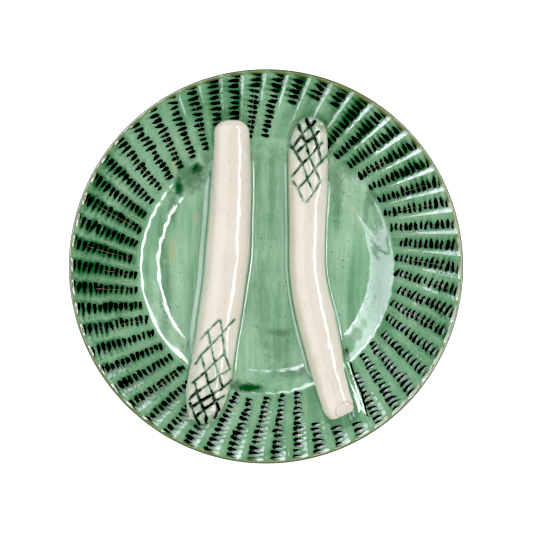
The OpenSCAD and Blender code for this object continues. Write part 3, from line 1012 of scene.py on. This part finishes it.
# %% Where the glaze lies thick
thick_round = {20: 0.46, 45: 0.70, 70: 0.92, 92: 0.62, 112: 0.48, 128: 0.40, 150: 0.70,
               180: 0.80, 205: 0.68, 225: 0.50, 250: 0.38, 272: 0.36, 300: 0.22, 325: 0.38,
               350: 0.48}
thick_in_well = 0.42
dark_runs = (
    ((196, 168), 7, 6, 1.0), ((178, 187), 5, 8, 1.0), ((189, 176), 14, 15, 0.6),
    ((250, 389), 15, 4.5, 1.0), ((238, 386), 8, 5, 0.7), ((343, 352), 7, 6, 0.5),
    ((172, 206), 5, 16, 0.5), ((206, 158), 5, 8, 0.5),
    ((165, 296), 6, 46, 0.42), ((160, 240), 4, 30, 0.35), ((262, 312), 8, 50, 0.28),
    ((280, 350), 12, 26, 0.32), ((338, 190), 6, 36, 0.38), ((350, 168), 9, 10, 0.42),
    ((272, 190), 4, 40, 0.22), ((372, 196), 5, 12, 0.5), ((258, 190), 3, 50, 0.2),
    ((190, 300), 4, 34, 0.22), ((352, 300), 4, 40, 0.2), ((300, 372), 20, 7, 0.4),
    ((384, 270), 13, 80, 0.40), ((283, 333), 9, 4, 0.35), ((367, 212), 3, 16, 0.35))
bare_spots = (
    ((171, 250), 4, 12, 0.7), ((195, 218), 3, 6, 0.6), ((174, 168), 3, 8, 0.55),
    ((187, 152), 4, 3, 0.4), ((196, 376), 3, 4, 0.3), ((338, 141), 3, 3, 0.4))
scratch_from, scratch_to = on_plate((350, 203)) * mm, on_plate((373, 240)) * mm

angle = np.degrees(np.arctan2(points[:, 1], points[:, 0])) % 360
around = np.interp(angle, list(thick_round), list(thick_round.values()), period=360)
out_there = ease(76, 84, r)
paint(plate, "thick", around * out_there + thick_in_well * (1 - out_there))
paint(plate, "seam", np.where(seam > -50, seam, 50) + 60 * (1 - fold))
print("thickness from", round(float(around.min()), 2), "to", round(float(around.max()), 2))

# %% [markdown]
# ## The plate's finish
#
# The plate is glazed in leaf green. The shader is a smooth glass-like one, because a fired glaze is
# glass, and a Bump node gives it its uneven skin. Every finish starts that way, so one function
# starts them all. The colours have their names here, so that the cells below read as a recipe.

# %% A new finish
def new_finish(name, roughness):
    """A material with its shader, the place on the piece and a bump, ready to be wired."""
    material = bpy.data.materials.new(name)
    material.use_nodes = True
    tree = material.node_tree
    shader = next(n for n in tree.nodes if n.type == "BSDF_PRINCIPLED")
    shader.inputs["Roughness"].default_value = roughness
    shader.inputs["Coat Roughness"].default_value = 0.04
    place = Value(tree, add_node(tree, "ShaderNodeTexCoord").outputs["Object"])
    bump = add_node(tree, "ShaderNodeBump")
    bump.inputs["Distance"].default_value = 0.0004
    tree.links.new(bump.outputs["Normal"], shader.inputs["Normal"])
    return material, shader, place, bump


def dress(material, *pieces):
    """Gives pieces this finish and no other."""
    for piece in pieces:
        piece.data.materials.clear()
        piece.data.materials.append(material)
    print("finish:", material.name, len(material.node_tree.nodes), "nodes")


pale, middling, deep = (0.470, 0.690, 0.515), (0.165, 0.390, 0.208), (0.011, 0.092, 0.026)
rim_green, mark_black = (0.175, 0.385, 0.205), (0.0006, 0.0035, 0.0011)
# painted reflections: the last cream on this line is for the crests of the rows, the tan on the
# next line for their middles
bare_green, scratch_cream, cream_reflection_colour = (0.45, 0.50, 0.30), (0.55, 0.60, 0.36), (0.44, 0.50, 0.31)
tan_reflection_colour, edge_olive = (0.42, 0.28, 0.20), (0.235, 0.300, 0.115)
edge_cream, edge_dark = (0.46, 0.50, 0.33), (0.035, 0.060, 0.030)
print("the glaze has its greens, creams and blacks")

# %% [markdown]
# The green starts as a mix of a pale and a middle green by the clouds. The valleys and halos turn
# it deep, the more so where the glaze lies thick. A picture could hold all this too, but nodes
# stay crisp however near the camera comes. The underside has the clouds alone.

# %% Green glaze: clouds, valleys and halos
green, shader, place, bump = new_finish("leaf_green_glaze", 0.13)
shader.inputs["IOR"].default_value = 1.62
cloud = use_group(clouds, place)
row_of = use_group(rows_group, place)
thick = kept(place.tree, "thick")
to_right, to_far_side, _ = parts(place)
radius = (to_right ** 2.0 + to_far_side ** 2.0) ** 0.5 * (1 / mm)
rim_mask = step_between(radius, 76.5, 80.0)

depth = cloud("Patch") * 0.40 + cloud("Streak") * 0.34 + cloud("Hair") * 0.24
colour = mix_colour(depth, pale, middling)
colour = mix_colour(rim_mask * 0.5, colour, rim_green)
valley = row_of("Valley") * rim_mask
rim_depth = (valley * 0.22 + 0.14) * step_between(thick, 0.15, 0.95, 0.3, 1.35) * rim_mask
rim_depth = calc("MULTIPLY", rim_depth, step_between(cloud("Patch"), 0.0, 1.0, 0.35, 1.9),
                 clamp=True)
colour = mix_colour(rim_depth, colour, deep)
pooled = thick + (noise(place, 42.0, 3.0, 0.55) - 0.5) * 1.5
pooled = pooled + step_between(radius, 86.0, 106.0, -0.28, 0.10)
halo = row_of("Halo") * step_between(pooled, 0.32, 0.88, 0.12, 1.0)
colour = mix_colour(halo, colour, deep)
under_colour = colour
print("the green has its clouds and halos")

# %% [markdown]
# What is sharp lies over what is soft. So the runs and spots of the well come next, then a pale
# scratch where the glaze broke, a darker green band along the foot of each spear, the painted
# reflections of a warm light along the rows, the black crease beside the right spear and the black
# marks. The edge lies over all: the glaze thins to olive there, then comes a cream line, stronger
# at the left and right, and a dark line at the very edge. Those follow the radius, so they are
# round and fine however few points the edge has.

# %% Green glaze: runs, hairlines, marks and edge
ragged = noise(place, 260.0, 3.0, 0.6) - 0.5
for spots, tint in ((dark_runs, deep), (bare_spots, bare_green)):
    for centre, wide, tall, share in spots:
        colour = mix_colour(near_spot(place, centre, wide, tall, ragged, share), colour, tint)
scratch = near_line(place, scratch_from, scratch_to) + ragged * 1.6
colour = mix_colour(step_between(scratch, 0.15, 0.55, 0.8, 0.0), colour, scratch_cream)
beside = kept(place.tree, "spear_near") + ragged * 2.0
colour = mix_colour(step_between(beside, 0.2, 2.2, 0.36, 0.0), colour, deep)
colour = mix_colour(cloud("Speck") * 0.6, colour, deep)
# painted reflection: thin cream lines on the crests of the rows
colour = mix_colour(row_of("Cream Reflection") * rim_mask * 0.65, colour, cream_reflection_colour)
crease = abs(kept(place.tree, "seam") + ragged * 0.7 + 0.25)
colour = mix_colour(step_between(crease, 0.35, 0.85, 0.97, 0.0), colour, mark_black)
colour = mix_colour(row_of("Mark"), colour, mark_black)
# painted reflection: thin tan lines down the middles of the rows
colour = mix_colour(row_of("Tan Reflection") * 0.6, colour, tan_reflection_colour)
colour = mix_colour(kept(place.tree, "upper"), under_colour, colour)

edge_wander = (noise(place, 30.0) - 0.5) * 1.4
toward_right = to_right / (plate_r * mm)
edge_at = radius + edge_wander + step_between(toward_right, -0.2, 0.9, -0.3, 0.1)
colour = mix_colour(step_between(edge_at, 116.2, 118.2) * 0.7, colour, edge_olive)
sideways = step_between(abs(toward_right), 0.35, 0.8, 0.25, 0.62)
colour = mix_colour(step_between(edge_at, 118.35, 118.75) * sideways, colour, edge_cream)
colour = mix_colour(step_between(radius, 118.8, 119.15) * 0.92, colour, edge_dark)
wire(colour, shader.inputs["Base Color"])
wire(step_between(row_of("Mark"), 0.0, 1.0, 0.10, 0.14), shader.inputs["Roughness"])
wire(use_group(skin, place, Ripple=0.8, Pits=0.3)("Height"), bump.inputs["Height"])
bump.inputs["Strength"].default_value = 0.45
dress(green, plate)

# %% [markdown]
# ## The spears' finish
#
# The spears are glazed in a warm cream that turns olive at their sides: narrowly on the right,
# where it lies thin, and broadly on the left, which is painted shade. The cut face of the right
# one has brownish rings, and its stalk a few pale scratches.

# %% Cream glaze: the clay's cream and its cut face
cream_glaze, shader, place, bump = new_finish("asparagus_cream_glaze", 0.12)
shader.inputs["IOR"].default_value = 1.35
cloud = use_group(clouds, place, Patch_Scale=34.0, Streak_Scale=150.0, Speck_Scale=500.0)
far, up_share, from_tip, side_share, face, stalk_scratch = (
    kept(place.tree, name)
    for name in ("score", "height", "from_tip", "aside", "cut_face", "scratch"))
ragged = (noise(place, 420.0, 3.0, 0.6) - 0.5) * 0.9
colour = mix_colour(cloud("Patch"), (0.80, 0.74, 0.65), (0.76, 0.695, 0.600))
colour = mix_colour(cloud("Streak") * 0.35, colour, (0.84, 0.79, 0.71))
side_share = side_share + ragged * 0.12
# olive at the sides: thin glaze at the narrow right edge, painted shade over the broad left side
thin_glaze_and_left_shade = step_between(side_share, 0.80, 1.0, 0.0, 0.22) \
    + step_between(side_share, -1.0, -0.46, 0.42, 0.0)
colour = mix_colour(thin_glaze_and_left_shade, colour, (0.42, 0.44, 0.29))
for at, width, share in ((1.0, 0.10, 0.45), (0.52, 0.09, 0.22)):
    ring = step_between(abs(face - at), 0.0, width, share, 0.0)
    colour = mix_colour(ring, colour, (0.50, 0.40, 0.30))
scored = step_between(stalk_scratch, 0.15, 0.6, 0.28, 0.0)
colour = mix_colour(scored, colour, (0.60, 0.54, 0.42))
print("the cream has its cut face")

# %% [markdown]
# Green ran into the cream: up the flanks from the plate, into the scored lines, and over the scales
# of the tips. The lines are nearly black on the tips and fade to a thin pale green along the
# stalk. They could be painted on, but the mesh knows how far each point lies from its nearest
# line, so the dark always lies in its groove.

# %% Cream glaze: green on the tips, the flanks and in the lines
for start, end, scale, low, high, share, tint in (
        (16, 56, 140.0, 0.40, 0.60, 0.55, (0.30, 0.47, 0.33)),
        (5, 22, 210.0, 0.38, 0.56, 0.65, (0.12, 0.27, 0.15))):
    green_there = step_between(from_tip, start, end, 1.0, 0.0) \
        * step_between(noise(place, scale, 3.0, 0.6), low, high)
    colour = mix_colour(green_there * share, colour, tint)
wet = up_share + ragged * 0.05
leaf = mix_colour(cloud("Patch"), (0.36, 0.56, 0.40), (0.22, 0.43, 0.28))
leaf = mix_colour(step_between(abs(wet - 0.20), 0.01, 0.09, 0.75, 0.0), leaf, (0.05, 0.17, 0.08))
colour = mix_colour(step_between(wet, 0.22, 0.30, 1.0, 0.0), colour, leaf)

knot = noise(place, 190.0, 2.0)
line_w = step_between(from_tip, 6, 40, 0.92, 0.44) * step_between(knot, 0.35, 0.65, 0.6, 1.4)
from_line_edge = far + ragged * 0.5 - line_w
soft = step_between(from_line_edge, 0.0, 1.3, 1.0, 0.0)
colour = mix_colour(soft * 0.5, colour, (0.22, 0.40, 0.26))
faded = calc("ADD", step_between(from_tip, 14, 52, 0.0, 0.8),
             step_between(knot, 0.3, 0.7, 0.45, -0.35), clamp=True)
ink = mix_colour(faded, (0.0015, 0.0080, 0.0030), (0.115, 0.275, 0.165))
colour = mix_colour(step_between(from_line_edge, -0.12, 0.18, 1.0, 0.0), colour, ink)
colour = mix_colour(cloud("Speck") * 0.35, colour, (0.24, 0.30, 0.20))
wire(colour, shader.inputs["Base Color"])
wire(step_between(up_share, 0.30, 0.52, 1.0, 0.0), shader.inputs["Coat Weight"])
wire(use_group(skin, place, Ripple=0.9, Pits=0.35)("Height"), bump.inputs["Height"])
bump.inputs["Strength"].default_value = 0.5
dress(cream_glaze, left_spear, right_spear)

# %% [markdown]
# ## The bare foot
#
# Wiped clay is dull, a little sandy, and darker where glaze water soaked in. The ring's upper
# part, next to the plate, still has its green glaze.

# %% Bare clay
clay, shader, place, bump = new_finish("wiped_foot_clay", 0.85)
cloud = use_group(clouds, place, Patch_Scale=45.0, Speck_Scale=800.0)
colour = mix_colour(cloud("Patch"), (0.56, 0.42, 0.31), (0.46, 0.33, 0.24))
colour = mix_colour(cloud("Speck") * 0.7, colour, (0.20, 0.13, 0.09))
height = parts(place)[2] + noise(place, 90.0) * 0.0012
glazed = step_between(height, 0.0024, 0.0030)
colour = mix_colour(glazed, colour, (0.12, 0.27, 0.15))
wire(colour, shader.inputs["Base Color"])
wire(step_between(glazed, 0.0, 1.0, 0.85, 0.2), shader.inputs["Roughness"])
wire(noise(place, 1500.0, 4.0, 0.7), bump.inputs["Height"])
bump.inputs["Strength"].default_value = 0.35
dress(clay, foot)

# %% [markdown]
# ## Join the pieces to the frame
#
# Each piece is hung on the plate, which is all one body, so that it moves with it, and the solids
# that it stands for are hidden.

# %% Ride on the plate
for piece, solids, slot in ((plate, ("rim", "well"), "green_glaze"),
                            (foot, ("foot_ring",), "bare_foot"),
                            (left_spear, ("left_spear",), "cream_glaze"),
                            (right_spear, ("right_spear",), "cream_glaze")):
    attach(piece, "root")
    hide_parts(*solids)
    print(piece.name, "stands for", ", ".join(solids))

# %% [markdown]
# ## Floor, camera and light
#
# The photograph looks straight down with a long lens on white. The floor is a plain pale sheet
# that is lit a little from inside, as a light table is, so that only a faint shadow is left.

# %% Floor
deselect_all()
bpy.ops.mesh.primitive_plane_add(size=6, location=(0, 0, -0.0002))
floor = bpy.context.object
floor.name = "pale_floor"
paper, shader, place, bump = new_finish("pale_paper", 0.9)
sheet = mix_colour(noise(place, 3.0), (0.93, 0.93, 0.93), (0.95, 0.95, 0.95))
wire(sheet, shader.inputs["Base Color"])
shader.inputs["Emission Color"].default_value = (1, 1, 1, 1)
shader.inputs["Emission Strength"].default_value = 0.72
bump.inputs["Strength"].default_value = 0.02
floor.data.materials.append(paper)
print("floor at", floor.location.z)

# %% [markdown]
# The camera hangs over the plate and looks straight down. Its lens is worked out from the width
# that the photograph shows, so that the two pictures can be laid over each other.

# %% Camera
photo_size = 533
photo_middle = photo_size / 2
camera_high, height_in_focus, sensor_w = 1.35, 0.0252, 36
bpy.ops.object.camera_add(location=((photo_middle - photo_x) * photo_scale * mm,
                                    (photo_y - photo_middle) * photo_scale * mm, camera_high))
camera = bpy.context.object
camera.rotation_euler = (0, 0, 0)
camera.data.sensor_fit = "HORIZONTAL"
camera.data.sensor_width = sensor_w
camera.data.lens = sensor_w * (camera_high - height_in_focus) / (photo_size * photo_scale * mm)
camera.data.clip_end = 20
bpy.context.scene.camera = camera
print("lens", round(camera.data.lens, 1), "mm")

# %% [markdown]
# A glaze is a mirror, so most of the light's work is in what it mirrors. The room's even light
# reaches the colours alone: it isn't mirrored, so flat glaze stays clear. The windows do the
# opposite, and show in the gloss alone. A big low window on the left, with a bar near its end,
# gives the broken pale patch on the right wall of the well, and a smaller one stands higher, to the
# back. A long narrow strip low on the right gives the thin white lines on the left shoulder and
# down the spears. The spears are rounder than the plate and would mirror the whole window, so they
# see it dimmed, as through a net: light linking says which pieces a light reaches, as a flag does
# in a studio.

# %% Lights
def add_window(name, place, wide, tall, watts, shown_to=(), at=(0, 0, 0.01), tint=(1, 1, 1)):
    """A window that shows only in the gloss, and only to some pieces where they are given."""
    bpy.ops.object.light_add(type="AREA", location=place)
    light = bpy.context.object
    light.name = name
    light.data.shape = "RECTANGLE"
    light.data.size, light.data.size_y = wide, tall
    light.data.energy = watts
    light.data.color = tint
    aim = Vector(at) - Vector(place)
    light.rotation_euler = aim.to_track_quat("-Z", "Y").to_euler()
    light.visible_diffuse = False
    if shown_to:
        flag = bpy.data.collections.new(name + "_flag")
        for piece in shown_to:
            flag.objects.link(piece)
        light.light_linking.receiver_collection = flag


daylight = (0.88, 0.88, 1.0)
add_window("left_window", (-0.812, 0.547, 0.66), 1.45, 1.40, 41.4, (plate, foot),
           (0.083, 0.262, 0.01), daylight)
add_window("side_pane", (-1.087, -0.315, 0.66), 0.19, 1.40, 5.4, (plate, foot),
           (-0.192, -0.600, 0.01), daylight)
add_window("upper_window", (-0.346, 0.554, 1.006), 0.70, 0.50, 7.8, (plate, foot), tint=daylight)
add_window("netted_window", (-0.895, 0.285, 0.745), 2.0, 1.52, 27, (left_spear, right_spear))
add_window("right_strip", (0.86, 0.12, 0.74), 1.65, 0.30, 24)

# %% [markdown]
# The sky is the room's even light, and the glaze doesn't mirror it. The photograph's darks are
# very dark, so the picture's black level is raised a little.

# %% The room's even light and the picture's levels
scene = bpy.context.scene
world = scene.world or bpy.data.worlds.new("studio")
scene.world = world
world.use_nodes = True
sky = next(n for n in world.node_tree.nodes if n.type == "BACKGROUND")
sky.inputs["Color"].default_value = (1, 1, 1, 1)
sky.inputs["Strength"].default_value = 1.07
world.cycles_visibility.glossy = False
scene.view_settings.view_transform = "Standard"
scene.view_settings.look = "None"
scene.view_settings.use_curve_mapping = True
levels = scene.view_settings.curve_mapping
levels.black_level = (0.022, 0.022, 0.022)
levels.update()
print("room light", round(sky.inputs["Strength"].default_value, 2))
